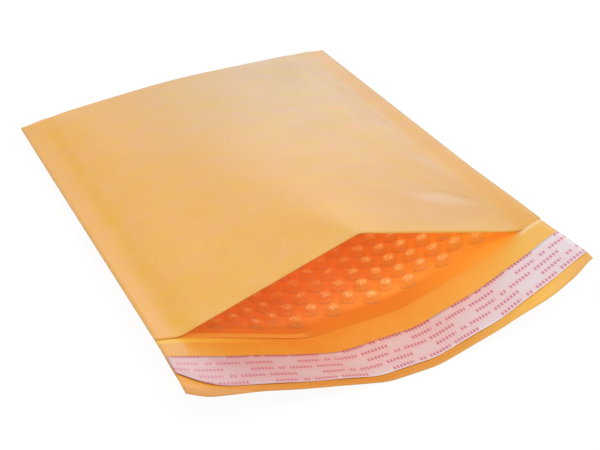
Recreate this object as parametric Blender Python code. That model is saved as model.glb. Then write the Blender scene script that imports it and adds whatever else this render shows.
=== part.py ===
"""A padded mailing envelope, lying on its back with its mouth popped open and its sealing flap flat.

It is four pieces. The kraft shell is one sheet of paper, folded at the bottom and sealed to itself down
both sides, whose back half runs on past the mouth as the flap. The bubble lining is one sheet of bubble
film, folded inside the shell, with its bubbles inwards. The adhesive band lies on the flap, and the
release liner covers it.

Axes: X runs across the envelope, +Y points from the mouth to the bottom fold, and +Z is up. The origin is
on the table, under the middle of the outline. Units are metres.

Every piece is laid out flat, as the sheet that it is cut from, and is then folded. A place on a flat sheet
is (across, along). Across is measured from the centre line. Along is measured from the mouth: it is
negative on the flap, runs down the back panel to the bottom fold, and then up the front panel, back to the
mouth at twice the pocket's length.
"""

import math
from bisect import bisect_right

import bmesh
import bpy
from mathutils import Vector
from mathutils.geometry import delaunay_2d_cdt

# The kraft sheet.
WIDTH = 0.197
POCKET_LENGTH = 0.2845
FLAP_LENGTH = 0.046
SEAM_WIDTH = 0.0108
PAPER_THICKNESS = 0.0004

# The bubble film.
FILM_THICKNESS = 0.0004
FILM_FROM_MOUTH = 0.004
FILM_FROM_SEAM = 0.004
BUBBLE_PITCH = 0.0113
BUBBLE_HEIGHT = 0.0032
BUBBLE_SHOULDER_RADIUS = 0.0040
BUBBLE_SHOULDER_SHARE = 0.75
LEAST_BUBBLE_HEIGHT = 0.0008
BUBBLES_FROM_MOUTH = 0.013
BUBBLES_FROM_FOLD = 0.009
BUBBLES_FROM_FILM_SIDE = 0.002
ROUND_BUBBLE_REACH = 0.080

# The closure on the flap.
LINER_WIDTH = 0.0245
LINER_FROM_FLAP_EDGE = 0.0068
LINER_SIDE_INSET = 0.0006
LINER_THICKNESS = 0.0003
ADHESIVE_WIDTH = 0.019
ADHESIVE_SIDE_INSET = 0.004
ADHESIVE_THICKNESS = 0.0003

# Layers that lie on each other keep this gap.
CLEARANCE = 0.0003

# How the back panel and the flap lie: a flat floor, and a wing that rises to each side edge.
EDGE_HEIGHT_AT_FOLD = 0.0018
EDGE_HEIGHT_AT_MOUTH = 0.0242
LEFT_EDGE_HEIGHT_AT_FLAP_END = 0.0300
RIGHT_EDGE_HEIGHT_AT_FLAP_END = 0.0297
WING_WIDTH_AT_FOLD = 0.0077
FLOOR_HALF_WIDTH_AT_MOUTH = 0.023
FLOOR_HALF_WIDTH_AT_FLAP_END = 0.012
FLOOR_SHIFT_AT_MOUTH = -0.003
FLOOR_SHIFT_AT_FLAP_END = 0.006
SEAM_TILT_AT_MOUTH = 0.24
LEFT_SEAM_TILT_AT_FLAP_END = 0.62
RIGHT_SEAM_TILT_AT_FLAP_END = 0.38
RIGHT_WING_SAG_AT_MOUTH = 0.0018
RIGHT_WING_SAG_AT_FLAP_END = 0.0038
LEFT_WING_SAG_AT_FLAP_END = 0.0008
CREASE_ROUNDING = 0.002

# How the front panel stands: a ridge at the mouth, which widens into a low crown at the bottom fold.
RIDGE_HEIGHT_AT_MOUTH = 0.0478
RIDGE_OFFSET_AT_MOUTH = 0.0055
RIDGE_HALF_WIDTH_AT_MOUTH = 0.0028
RIDGE_ROUNDING_AT_MOUTH = 0.0014
CROWN_DROP_AT_FOLD = 0.0033

# The dog ear: the flap's left corner is bent down a little.
DOG_EAR_ACROSS = 0.024
DOG_EAR_ALONG = 0.0065
DOG_EAR_DROP = 0.003

FLAP_ROWS = 5
POCKET_ROWS = 10
NOSE_ROWS = 3
SHARP_ANGLE = math.radians(35)

KRAFT_COLOUR = (0.87, 0.50, 0.17, 1.0)
FILM_COLOUR = (0.90, 0.28, 0.06, 1.0)
ADHESIVE_COLOUR = (0.90, 0.84, 0.62, 1.0)
LINER_COLOUR = (0.88, 0.72, 0.72, 1.0)

# Half of the sheet that isn't sealed, and half of what lies flat at the bottom fold.
OPEN_HALF_WIDTH = WIDTH / 2 - SEAM_WIDTH
FLOOR_HALF_WIDTH_AT_FOLD = OPEN_HALF_WIDTH - WING_WIDTH_AT_FOLD

# How deep a layer's face lies under the kraft sheet's outer face.
LINING_OUTER_DEPTH = PAPER_THICKNESS + CLEARANCE
LINING_INNER_DEPTH = LINING_OUTER_DEPTH + FILM_THICKNESS
ADHESIVE_DEPTH = PAPER_THICKNESS + CLEARANCE
LINER_DEPTH = ADHESIVE_DEPTH + ADHESIVE_THICKNESS + CLEARANCE

# At the bottom fold the two padded walls lie on each other, and the sheet turns round them.
FOLD_THICKNESS = 2 * (LINING_INNER_DEPTH + BUBBLE_HEIGHT) + CLEARANCE
NOSE_RADIUS = FOLD_THICKNESS / 2
NOSE_ARC = NOSE_RADIUS * math.pi / 2
FRONT_MOUTH = 2 * POCKET_LENGTH

# The origin lies halfway between the flap's free edge and the nose of the fold.
MOUTH_Y = (FLAP_LENGTH - (POCKET_LENGTH - NOSE_ARC + NOSE_RADIUS)) / 2


def blend(start, end, share):
    """The value a share of the way from start to end."""
    return start + (end - start) * share


def along_shares(along):
    """How far a place lies down the pocket, and how far out on the flap, each from 0 to 1."""
    pocket = min(max(along / POCKET_LENGTH, 0.0), 1.0)
    flap = min(max(-along / FLAP_LENGTH, 0.0), 1.0)
    return pocket, flap


def three_way(at_fold, at_mouth, at_flap_end, along):
    """A size that changes evenly from the mouth to the fold, and from the mouth to the flap's end."""
    pocket, flap = along_shares(along)
    return blend(at_mouth, at_fold, pocket) + blend(0.0, at_flap_end - at_mouth, flap)


def wing_sizes(side, along):
    """The edge's height, the seam's tilt and the wing's sag on the left (-1) or the right (1)."""
    if side < 0:
        flap_end_height = LEFT_EDGE_HEIGHT_AT_FLAP_END
        flap_end_tilt = LEFT_SEAM_TILT_AT_FLAP_END
        sag = three_way(0.0, 0.0, LEFT_WING_SAG_AT_FLAP_END, along)
    else:
        flap_end_height = RIGHT_EDGE_HEIGHT_AT_FLAP_END
        flap_end_tilt = RIGHT_SEAM_TILT_AT_FLAP_END
        sag = three_way(0.0, RIGHT_WING_SAG_AT_MOUTH, RIGHT_WING_SAG_AT_FLAP_END, along)
    edge_height = three_way(EDGE_HEIGHT_AT_FOLD, EDGE_HEIGHT_AT_MOUTH, flap_end_height, along)
    tilt = three_way(0.0, SEAM_TILT_AT_MOUTH, flap_end_tilt, along)
    return edge_height, tilt, sag


def back_profile(along):
    """The back panel's outer face at one distance from the mouth, as points of (across, x, z)."""
    floor_half = three_way(
        FLOOR_HALF_WIDTH_AT_FOLD, FLOOR_HALF_WIDTH_AT_MOUTH, FLOOR_HALF_WIDTH_AT_FLAP_END, along
    )
    shift = three_way(0.0, FLOOR_SHIFT_AT_MOUTH, FLOOR_SHIFT_AT_FLAP_END, along)
    profile = []
    for side in (-1, 1):
        edge_height, tilt, sag = wing_sizes(side, along)
        seam_height = edge_height - SEAM_WIDTH * math.sin(tilt)
        toe = floor_half + side * shift
        wing = OPEN_HALF_WIDTH - toe
        lean = math.asin(seam_height / wing)
        seam_x = toe + wing * math.cos(lean)
        reach = min(CREASE_ROUNDING, wing / 2)
        half = [
            (toe / 2, toe / 2, 0.0),
            (toe - reach, toe - reach, 0.0),
            (toe + reach, toe + reach * math.cos(lean), reach * math.sin(lean) * (1 - sag / seam_height)),
            (toe + wing / 2, (toe + seam_x) / 2, seam_height / 2 - sag),
            (OPEN_HALF_WIDTH, seam_x, seam_height),
            (WIDTH / 2, seam_x + SEAM_WIDTH * math.cos(tilt), edge_height),
        ]
        profile += [(side * across, side * x, z) for across, x, z in half]
    profile.append((0.0, 0.0, 0.0))
    return sorted(profile)


def front_profile(along):
    """The front panel's outer face at one distance from the mouth, as points of (across, x, z)."""
    pocket, _ = along_shares(along)
    back = back_profile(along)
    left_edge, left_seam, right_seam, right_edge = back[0], back[1], back[-2], back[-1]
    stretch = (right_seam[1] - left_seam[1]) / (right_seam[0] - left_seam[0])
    seam_z = left_seam[2] + 2 * PAPER_THICKNESS
    top_z = blend(RIDGE_HEIGHT_AT_MOUTH, FOLD_THICKNESS, pocket)
    drop = blend(0.0, CROWN_DROP_AT_FOLD, pocket)
    ridge = blend(RIDGE_OFFSET_AT_MOUTH, 0.0, pocket)
    crown_half = blend(RIDGE_HALF_WIDTH_AT_MOUTH, FLOOR_HALF_WIDTH_AT_FOLD, pocket)
    reach = blend(RIDGE_ROUNDING_AT_MOUTH, CREASE_ROUNDING, pocket)
    profile = [(ridge, top_z)]
    for side in (-1, 1):
        shoulder = ridge + side * crown_half
        fall = (top_z - drop - seam_z) / (OPEN_HALF_WIDTH - abs(shoulder))
        inner_share = (crown_half - reach) / crown_half
        profile += [
            (ridge + side * crown_half / 2, top_z - drop * 0.5**2),
            (shoulder - side * reach, top_z - drop * inner_share**2),
            (shoulder + side * reach, top_z - drop - fall * reach),
            ((shoulder + side * OPEN_HALF_WIDTH) / 2, (top_z - drop + seam_z) / 2),
        ]
    placed = [(across, left_seam[1] + (across - left_seam[0]) * stretch, z) for across, z in profile]
    for across, x, z in (left_edge, left_seam, right_seam, right_edge):
        placed.append((across, x, z + 2 * PAPER_THICKNESS))
    return sorted(placed)


def read_profile(profile, across):
    """The x and z of a profile at one place across it."""
    place = bisect_right(profile, (across,)) - 1
    place = min(max(place, 0), len(profile) - 2)
    start, end = profile[place], profile[place + 1]
    share = (across - start[0]) / (end[0] - start[0])
    return blend(start[1], end[1], share), blend(start[2], end[2], share)


def dog_ear(across, along):
    """How far the bent corner of the flap moves a place on it."""
    from_side = (across + WIDTH / 2) / DOG_EAR_ACROSS
    from_end = (along + FLAP_LENGTH) / DOG_EAR_ALONG
    return -DOG_EAR_DROP * max(0.0, 1.0 - from_side - from_end)


def fold(across, along, depth):
    """Where a place on a flat sheet comes to lie, at a depth under the kraft sheet's outer face."""
    on_front = along > POCKET_LENGTH
    from_mouth = FRONT_MOUTH - along if on_front else along
    back_x, back_z = read_profile(back_profile(from_mouth), across)
    if from_mouth <= 0.0 and not on_front:
        return Vector((back_x, MOUTH_Y + from_mouth, back_z + depth + dog_ear(across, from_mouth)))
    front_x, front_z = read_profile(front_profile(from_mouth), across)
    middle_z = (front_z + back_z) / 2
    half_gap = (front_z - back_z) / 2 - depth
    nose_start = POCKET_LENGTH - NOSE_ARC
    turn = max(0.0, (from_mouth - nose_start) / NOSE_RADIUS)
    y = MOUTH_Y + min(from_mouth, nose_start) + (NOSE_RADIUS - depth) * math.sin(turn)
    if turn == 0.0:
        y = MOUTH_Y + from_mouth
    side = 1 if on_front else -1
    x = blend(front_x if on_front else back_x, back_x, 1 - math.cos(turn))
    return Vector((x, y, middle_z + side * half_gap * math.cos(turn)))


def even_steps(start, end, count):
    """Places from start to end, both included, in a number of even steps."""
    return [blend(start, end, step / count) for step in range(count + 1)]


def pocket_rows(first):
    """Places along the pocket from a first one near the mouth to the bottom fold."""
    nose_start = POCKET_LENGTH - NOSE_ARC
    return even_steps(first, nose_start, POCKET_ROWS) + even_steps(nose_start, POCKET_LENGTH, NOSE_ROWS)[1:]


def there_and_back(rows):
    """The rows down the back panel, and the same rows up the front panel."""
    return rows + [FRONT_MOUTH - along for along in reversed(rows[:-1])]


def crease_columns(along, half_width):
    """Places across the sheet where its surface bends, within a half width."""
    on_front = along > POCKET_LENGTH
    profile = front_profile(FRONT_MOUTH - along) if on_front else back_profile(along)
    bends = [across for across, _, _ in profile[2:-2]]
    return [-half_width] + bends + [half_width]


def finish_mesh(name, mesh_builder, colour, roughness):
    """Turn a bmesh into a named object with its own material."""
    bmesh.ops.recalc_face_normals(mesh_builder, faces=mesh_builder.faces)
    mesh = bpy.data.meshes.new(name)
    mesh_builder.to_mesh(mesh)
    mesh_builder.free()
    mesh.shade_smooth()
    mesh.set_sharp_from_angle(angle=SHARP_ANGLE)
    material = bpy.data.materials.new(name + "_finish")
    material.use_nodes = True
    shader = material.node_tree.nodes["Principled BSDF"]
    shader.inputs["Base Color"].default_value = colour
    shader.inputs["Roughness"].default_value = roughness
    shader.inputs["Metallic"].default_value = 0.0
    mesh.materials.append(material)
    piece = bpy.data.objects.new(name, mesh)
    bpy.context.collection.objects.link(piece)
    return piece


def grid_of_verts(builder, columns_by_row, depth):
    """Folded vertices for rows of (along, places across)."""
    return [
        [builder.verts.new(fold(across, along, depth)) for across in columns]
        for along, columns in columns_by_row
    ]


def join_chains(builder, first, second):
    """A strip of four-sided faces between two equally long chains of vertices."""
    for place in range(len(first) - 1):
        builder.faces.new((first[place], first[place + 1], second[place + 1], second[place]))


def fill_grid(builder, rows):
    """Faces over a whole grid of vertices."""
    for upper, lower in zip(rows, rows[1:]):
        join_chains(builder, upper, lower)


def column(rows, place):
    """One column of a grid of vertices."""
    return [row[place] for row in rows]


def kraft_shell():
    """The folded and side-sealed paper, as one closed body with a wall thickness."""
    builder = bmesh.new()
    flap_rows = even_steps(-FLAP_LENGTH, 0.0, FLAP_ROWS)
    wall_rows = there_and_back(pocket_rows(0.0))
    outside = grid_of_verts(
        builder, [(along, crease_columns_with_seam(along)) for along in flap_rows + wall_rows[1:]], 0.0
    )
    flap_inside = grid_of_verts(
        builder, [(along, crease_columns_with_seam(along)) for along in flap_rows], PAPER_THICKNESS
    )
    pocket_inside = grid_of_verts(
        builder,
        [(along, crease_columns(along, OPEN_HALF_WIDTH)) for along in wall_rows[1:]],
        PAPER_THICKNESS,
    )
    pocket_inside.insert(0, flap_inside[-1][1:-1])
    fill_grid(builder, outside)
    fill_grid(builder, flap_inside)

    # The front and back panels are one piece along the inner end of each side seam.
    last = len(pocket_inside) - 1
    fold_row = last // 2
    for row in range(fold_row + 1, last + 1):
        twin = pocket_inside[last - row]
        for end in (0, -1):
            builder.verts.remove(pocket_inside[row][end])
            pocket_inside[row][end] = twin[end]
    fill_grid(builder, pocket_inside)

    # The cut edges: round the flap, across the front panel's mouth, and down the two side seams.
    join_chains(builder, outside[0], flap_inside[0])
    join_chains(builder, outside[-1][1:-1], pocket_inside[-1])
    for end, seam in ((0, 1), (-1, -2)):
        join_chains(builder, column(outside[: FLAP_ROWS + 1], end), column(flap_inside, end))
        builder.faces.new((flap_inside[-1][end], flap_inside[-1][seam], outside[-1][seam], outside[-1][end]))
        side = column(outside[FLAP_ROWS:], end)
        middle = len(side) // 2
        back_edge, front_edge = side[: middle + 1], list(reversed(side[middle:]))
        builder.faces.new((flap_inside[-1][end], back_edge[0], back_edge[1], front_edge[1], front_edge[0]))
        for place in range(1, middle - 1):
            builder.faces.new(
                (back_edge[place], back_edge[place + 1], front_edge[place + 1], front_edge[place])
            )
        builder.faces.new((back_edge[middle - 1], back_edge[middle], front_edge[middle - 1]))
    return finish_mesh("kraft_shell", builder, KRAFT_COLOUR, 0.45)


def crease_columns_with_seam(along):
    """Places across the whole sheet where its surface bends, with the seams' inner ends."""
    columns = crease_columns(along, OPEN_HALF_WIDTH)
    return [-WIDTH / 2] + columns + [WIDTH / 2]


def bubble_places(half_width):
    """Centres of the bubbles on the back panel, on a lattice of equal hexagons."""
    spacing = BUBBLE_PITCH * math.sqrt(3) / 2
    cell = BUBBLE_PITCH / math.sqrt(3)
    columns = int((half_width - BUBBLES_FROM_FILM_SIDE - cell) / spacing)
    first = BUBBLES_FROM_MOUTH + BUBBLE_PITCH / 2
    last = POCKET_LENGTH - BUBBLES_FROM_FOLD - BUBBLE_PITCH / 2
    places = []
    for number in range(-columns, columns + 1):
        along = first + (BUBBLE_PITCH / 2 if number % 2 else 0.0)
        while along <= last:
            places.append((number * spacing, along))
            along += BUBBLE_PITCH
    return places


def bubble_height(across, along):
    """The height that a bubble has left to it between the two panels."""
    gap = read_profile(front_profile(along), across)[1] - read_profile(back_profile(along), across)[1]
    return min(BUBBLE_HEIGHT, gap / 2 - LINING_INNER_DEPTH - CLEARANCE / 2)


def hexagon(centre, radius):
    """Six places round a centre, with two of them straight out across the sheet."""
    across, along = centre
    return [
        (across + radius * math.cos(math.radians(60 * corner)),
         along + radius * math.sin(math.radians(60 * corner)))
        for corner in range(6)
    ]


def bubbled_points(half_width):
    """The places and heights that make up the bubbles of both panels of the film."""
    cell = BUBBLE_PITCH / math.sqrt(3)
    points = {}
    for centre in bubble_places(half_width):
        height = bubble_height(*centre)
        if height < LEAST_BUBBLE_HEIGHT:
            continue
        rings = [([centre], height), (hexagon(centre, cell), 0.0)]
        if centre[1] < ROUND_BUBBLE_REACH:
            rings.append((hexagon(centre, BUBBLE_SHOULDER_RADIUS), height * BUBBLE_SHOULDER_SHARE))
        for ring, lift in rings:
            for across, along in ring:
                for place in (along, FRONT_MOUTH - along):
                    points[(round(across, 6), round(place, 6))] = lift
    return points


def flat_triangles(border, points):
    """Triangles over a flat outline, from the outline's own places and the places inside it."""
    places = border + points
    flat = [Vector(place) for place in places]
    result = delaunay_2d_cdt(flat, [], [list(range(len(border)))], 1, 1e-7)
    sources = [origin[0] for origin in result[3]]
    return [[sources[corner] for corner in face] for face in result[2]]


def film_face(builder, half_width, depth, points, rows):
    """One face of the film: its vertices, and the two side columns of its outline."""
    left = [(-half_width, along) for along in rows]
    right = [(half_width, along) for along in rows]
    back_mouth = [(across, rows[0]) for across in crease_columns(rows[0], half_width)[1:-1]]
    front_mouth = [(across, rows[-1]) for across in crease_columns(rows[-1], half_width)[1:-1]]
    border = back_mouth + right + front_mouth[::-1] + left[::-1]
    inner = list(points)
    lifts = [0.0] * len(border) + [points[place] for place in inner]
    verts = [
        builder.verts.new(fold(across, along, depth + lift))
        for (across, along), lift in zip(border + inner, lifts)
    ]
    for corners in flat_triangles(border, inner):
        builder.faces.new([verts[corner] for corner in corners])
    count = len(back_mouth)
    side = len(rows)
    right_verts = verts[count:count + side]
    front_verts = verts[count + side:2 * count + side][::-1]
    left_verts = verts[2 * count + side:2 * (count + side)][::-1]
    return {
        "back": [left_verts[0]] + verts[:count] + [right_verts[0]],
        "front": [left_verts[-1]] + front_verts + [right_verts[-1]],
        "left": left_verts,
        "right": right_verts,
    }


def close_side(builder, chain):
    """The wall between the back and front halves of one side of the film."""
    middle = len(chain) // 2
    back_edge, front_edge = chain[: middle + 1], list(reversed(chain[middle:]))
    for place in range(middle - 1):
        builder.faces.new((back_edge[place], back_edge[place + 1], front_edge[place + 1], front_edge[place]))
    builder.faces.new((back_edge[middle - 1], back_edge[middle], front_edge[middle - 1]))


def bubble_lining():
    """The folded bubble film, as one closed body with a wall thickness and hollow only at the pocket."""
    builder = bmesh.new()
    rows = there_and_back(pocket_rows(FILM_FROM_MOUTH))
    outer_half = OPEN_HALF_WIDTH - FILM_FROM_SEAM
    inner_half = outer_half - FILM_THICKNESS
    bends = {
        (across, along): 0.0 for along in rows[1:-1] for across in crease_columns(along, outer_half)[1:-1]
    }
    outside = film_face(builder, outer_half, LINING_OUTER_DEPTH, bends, rows)
    inside = film_face(builder, inner_half, LINING_INNER_DEPTH, bubbled_points(inner_half), rows)
    for side in ("left", "right"):
        close_side(builder, outside[side])
        close_side(builder, inside[side])
    for panel in ("back", "front"):
        join_chains(builder, outside[panel], inside[panel])
    for end in (0, -1):
        builder.faces.new(
            (outside["back"][end], outside["front"][end], inside["front"][end], inside["back"][end])
        )
    return finish_mesh("bubble_lining", builder, FILM_COLOUR, 0.2)


def flap_strip(name, width, middle, side_inset, depth, thickness, colour, roughness):
    """A flat strip that lies across the flap."""
    builder = bmesh.new()
    half_width = WIDTH / 2 - side_inset
    rows = []
    for along in even_steps(middle - width / 2, middle + width / 2, 2):
        columns = [place for place in crease_columns_with_seam(along) if abs(place) < half_width]
        rows.append((along, [-half_width] + columns + [half_width]))
    below = grid_of_verts(builder, rows, depth)
    above = grid_of_verts(builder, rows, depth + thickness)
    fill_grid(builder, below)
    fill_grid(builder, above)
    for row in (0, -1):
        join_chains(builder, below[row], above[row])
    for end in (0, -1):
        join_chains(builder, column(below, end), column(above, end))
    return finish_mesh(name, builder, colour, roughness)


def build():
    """Every piece, at its place on the table."""
    for old in list(bpy.data.objects):
        bpy.data.objects.remove(old, do_unlink=True)
    kraft_shell()
    bubble_lining()
    liner_middle = -FLAP_LENGTH + LINER_FROM_FLAP_EDGE + LINER_WIDTH / 2
    flap_strip(
        "adhesive_band", ADHESIVE_WIDTH, liner_middle, ADHESIVE_SIDE_INSET,
        ADHESIVE_DEPTH, ADHESIVE_THICKNESS, ADHESIVE_COLOUR, 0.3,
    )
    flap_strip(
        "release_liner", LINER_WIDTH, liner_middle, LINER_SIDE_INSET,
        LINER_DEPTH, LINER_THICKNESS, LINER_COLOUR, 0.35,
    )


build()
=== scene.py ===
# %% [markdown]
# A padded mailing envelope, dressed for its picture.
#
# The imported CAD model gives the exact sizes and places. This lesson puts a finer piece over each of its
# solids: a sheet of kraft paper that is folded smoothly, a sheet of bubble film with hundreds of small
# domes, a glue band and a strip of release paper. Each piece starts flat, as the real sheet does, and one
# function then folds all of them. So they can't drift apart, and a pattern laid on the flat sheet follows
# every fold.

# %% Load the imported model
import math

import bmesh
import bpy
import numpy as np
from mathutils import Matrix, Vector


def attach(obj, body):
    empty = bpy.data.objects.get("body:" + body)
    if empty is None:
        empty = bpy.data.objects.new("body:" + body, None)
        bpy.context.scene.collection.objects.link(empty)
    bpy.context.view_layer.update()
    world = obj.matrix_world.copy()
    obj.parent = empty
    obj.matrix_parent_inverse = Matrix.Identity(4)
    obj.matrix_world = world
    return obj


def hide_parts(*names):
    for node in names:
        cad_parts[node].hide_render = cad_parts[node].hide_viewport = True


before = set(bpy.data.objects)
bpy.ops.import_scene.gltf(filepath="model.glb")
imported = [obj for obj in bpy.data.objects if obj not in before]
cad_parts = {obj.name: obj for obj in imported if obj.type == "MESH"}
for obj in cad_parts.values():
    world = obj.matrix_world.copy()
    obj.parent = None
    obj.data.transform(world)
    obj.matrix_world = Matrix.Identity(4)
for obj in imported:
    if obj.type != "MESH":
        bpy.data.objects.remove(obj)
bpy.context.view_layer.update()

# %% [markdown]
# The camera comes first, because every later choice is judged through it.
#
# It could be aimed by hand with a Track To constraint. A solved camera is better here: its angle, distance
# and small roll were worked out from the envelope's own corners, so they are written down as numbers. The
# camera's axes are built from the angles, and the roll then turns two of them round the line of sight.

# %% Place the camera
IMAGE_WIDTH = 600
FOCAL_PIXELS = 1404.68
SENSOR_WIDTH = 36.0
CAMERA_AZIMUTH = math.radians(-18.28)
CAMERA_ELEVATION = math.radians(31.34)
CAMERA_ROLL = math.radians(-6.64)
CAMERA_DISTANCE = 0.72204
CAMERA_TARGET = Vector((0.00831, -0.02387, 0.0))

to_camera = Vector((
    math.sin(CAMERA_AZIMUTH) * math.cos(CAMERA_ELEVATION),
    -math.cos(CAMERA_AZIMUTH) * math.cos(CAMERA_ELEVATION),
    math.sin(CAMERA_ELEVATION),
))
level_right = Vector((0, 0, 1)).cross(to_camera).normalized()
level_up = to_camera.cross(level_right)
camera_right = math.cos(CAMERA_ROLL) * level_right + math.sin(CAMERA_ROLL) * level_up
camera_up = -math.sin(CAMERA_ROLL) * level_right + math.cos(CAMERA_ROLL) * level_up
camera_data = bpy.data.cameras.new("camera")
camera_data.sensor_width = SENSOR_WIDTH
camera_data.lens = FOCAL_PIXELS * SENSOR_WIDTH / IMAGE_WIDTH
camera = bpy.data.objects.new("camera", camera_data)
camera.matrix_world = (
    Matrix.Translation(CAMERA_TARGET + CAMERA_DISTANCE * to_camera)
    @ Matrix((camera_right, camera_up, to_camera)).transposed().to_4x4()
)
bpy.context.scene.collection.objects.link(camera)
bpy.context.scene.camera = camera
print("camera lens in millimetres:", round(camera_data.lens, 2))

# %% [markdown]
# The flat sheets are cut to the same sizes as the CAD solids.
#
# A place on a flat sheet is (across, along). Across is measured from the centre line. Along is measured from
# the mouth: negative on the flap, then down the back panel to the bottom fold, and up the front panel to the
# mouth again. These numbers repeat the ones that the solids were built from.

# %% The sheets' sizes
SHEET_WIDTH = 0.197
POCKET_LENGTH = 0.2845
FLAP_LENGTH = 0.046
SEAM_WIDTH = 0.0108
OPEN_HALF = SHEET_WIDTH / 2 - SEAM_WIDTH
STRIP_FROM_EDGE = 0.0048
STRIP_FAR_EDGE = STRIP_FROM_EDGE - FLAP_LENGTH
PAPER_THICKNESS = 0.0004
FILM_DEPTH = 0.0007
FILM_THICKNESS = 0.0004
BUBBLE_HEIGHT = 0.0030
FOLD_THICKNESS = 0.0089
NOSE_RADIUS = FOLD_THICKNESS / 2
NOSE_START = POCKET_LENGTH - NOSE_RADIUS * math.pi / 2
FRONT_MOUTH = 2 * POCKET_LENGTH
MOUTH_Y = (FLAP_LENGTH - NOSE_START - NOSE_RADIUS) / 2

# %% [markdown]
# The envelope lies on its back, and its mouth has popped open.
#
# The back panel is a gutter: a flat floor with a wing rising to each side edge. The front panel is a roof:
# a ridge at the mouth that widens into a low crown at the bottom. Both could be drawn as curves and lofted.
# Here they are worked out as two height tables over the flat sheet instead, one value for each millimetre,
# because a table can be smoothed, dented and crumpled with a few lines of numpy, and any piece can read it.

# %% Lay the two panels out as tables
STEP = 0.001
columns = np.linspace(-SHEET_WIDTH / 2, SHEET_WIDTH / 2, round(SHEET_WIDTH / STEP) + 1)
rows = np.linspace(-FLAP_LENGTH, POCKET_LENGTH, round((FLAP_LENGTH + POCKET_LENGTH) / STEP) + 1)


def mix(start, end, share):
    """The value a share of the way from start to end."""
    return start + (end - start) * share


def ease(value, start, end):
    """A share that rises from 0 at start to 1 at end, gently at both ends."""
    share = np.clip((value - start) / (end - start), 0.0, 1.0)
    return share * share * (3.0 - 2.0 * share)


def three_way(at_fold, at_mouth, at_flap_end, along):
    """A size that changes evenly from the mouth to the fold, and from the mouth to the flap's end."""
    if along >= 0:
        return mix(at_mouth, at_fold, along / POCKET_LENGTH)
    return mix(at_mouth, at_flap_end, -along / FLAP_LENGTH)


def wing_sizes(side, along):
    """The edge's height, the seam's tilt and the wing's sag on the left (-1) or the right (1)."""
    if side < 0:
        sizes = (0.0018, 0.0242, 0.0300), (0.0, 0.22, 0.62), (0.0, 0.0, 0.0008)
    else:
        sizes = (0.0018, 0.0242, 0.0297), (0.0, 0.24, 0.38), (0.0, 0.0018, 0.0038)
    return [three_way(*size, along) for size in sizes]


def back_outline(along):
    """The back panel's cross-section at one row, as corner points of (across, x, z)."""
    floor_half = three_way(0.080, 0.023, 0.012, along)
    shift = three_way(0.0, -0.003, 0.006, along)
    points = [(0.0, 0.0, 0.0)]
    for side in (-1, 1):
        edge_height, tilt, sag = wing_sizes(side, along)
        seam_height = edge_height - SEAM_WIDTH * math.sin(tilt)
        toe = floor_half + side * shift
        wing = OPEN_HALF - toe
        lean = math.asin(seam_height / wing)
        seam_x = toe + wing * math.cos(lean)
        half = [
            (toe, toe, 0.0),
            (toe + wing / 2, (toe + seam_x) / 2, seam_height / 2 - sag),
            (OPEN_HALF, seam_x, seam_height),
            (SHEET_WIDTH / 2, seam_x + SEAM_WIDTH * math.cos(tilt), edge_height),
        ]
        points += [(side * across, side * x, z) for across, x, z in half]
    return sorted(points)


def front_outline(along, back):
    """The front panel's cross-section at one row. It shares the seams with the back panel."""
    share = along / POCKET_LENGTH
    left_edge, left_seam, right_seam, right_edge = back[0], back[1], back[-2], back[-1]
    stretch = (right_seam[1] - left_seam[1]) / (right_seam[0] - left_seam[0])
    seam_z = left_seam[2] + 2 * PAPER_THICKNESS
    top_z = mix(0.0474, FOLD_THICKNESS, share)
    drop = mix(0.0, 0.0033, share)
    ridge = mix(0.0040, 0.0, share)
    crown_half = mix(0.0010, 0.080, share)
    points = [(ridge, top_z)]
    for side in (-1, 1):
        shoulder = ridge + side * crown_half
        points.append((ridge + side * crown_half / 2, top_z - drop / 4))
        points.append((shoulder, top_z - drop))
        points.append(((shoulder + side * OPEN_HALF) / 2, (top_z - drop + seam_z) / 2))
    placed = [(across, left_seam[1] + (across - left_seam[0]) * stretch, z) for across, z in points]
    placed += [(across, x, z + 2 * PAPER_THICKNESS) for across, x, z in
               (left_edge, left_seam, right_seam, right_edge)]
    return sorted(placed)


def soften(values, spread):
    """Round the corners of one row of a table, and keep its two ends where they are."""
    reach = max(2, int(3 * spread / STEP))
    places = np.arange(-reach, reach + 1) * STEP
    weights = np.exp(-0.5 * (places / spread) ** 2)
    padded = np.pad(values, reach, mode="reflect", reflect_type="odd")
    return np.convolve(padded, weights / weights.sum(), mode="valid")


back_x, back_z, front_x, front_z = (np.zeros((len(rows), len(columns))) for _ in range(4))
for number, along in enumerate(rows):
    back = back_outline(along)
    front = front_outline(max(along, 0.0), back_outline(max(along, 0.0)))
    back_spread = three_way(0.003, 0.0045, 0.003, along)
    ridge_spread = 0.0008 + 0.0128 * ease(along, 0.003, 0.070)
    edge_spread = 0.0008 + 0.0012 * ease(along, 0.0, 0.020) + 0.0050 * ease(along, POCKET_LENGTH - 0.060, POCKET_LENGTH)
    across, x, z = (np.array(part) for part in zip(*back))
    back_x[number] = soften(np.interp(columns, across, x), back_spread)
    back_z[number] = soften(np.interp(columns, across, z), back_spread)
    across, x, z = (np.array(part) for part in zip(*front))
    front_x[number] = soften(np.interp(columns, across, x), edge_spread)
    crisp = soften(np.interp(columns, across, z), edge_spread)
    round_top = soften(np.interp(columns, across, z), ridge_spread)
    front_z[number] = mix(crisp, round_top, ease(OPEN_HALF - np.abs(columns), 0.012, 0.034))
print("table of", len(rows), "by", len(columns), "places; ridge", round(front_z.max() * 1000, 1), "mm high")

# %% [markdown]
# Real paper over padding is never a clean roof.
#
# Beside each sealed seam the padding starts with a small step, so the paper dips there and swells just
# inside. The right wing has a few slanting buckles, and the whole sheet waves a little. A sculpt brush could
# push these in one by one. Adding soft ridges to the tables by formula gives the same forms, can be tuned by
# a number each, and carries the film along under the paper.

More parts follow.
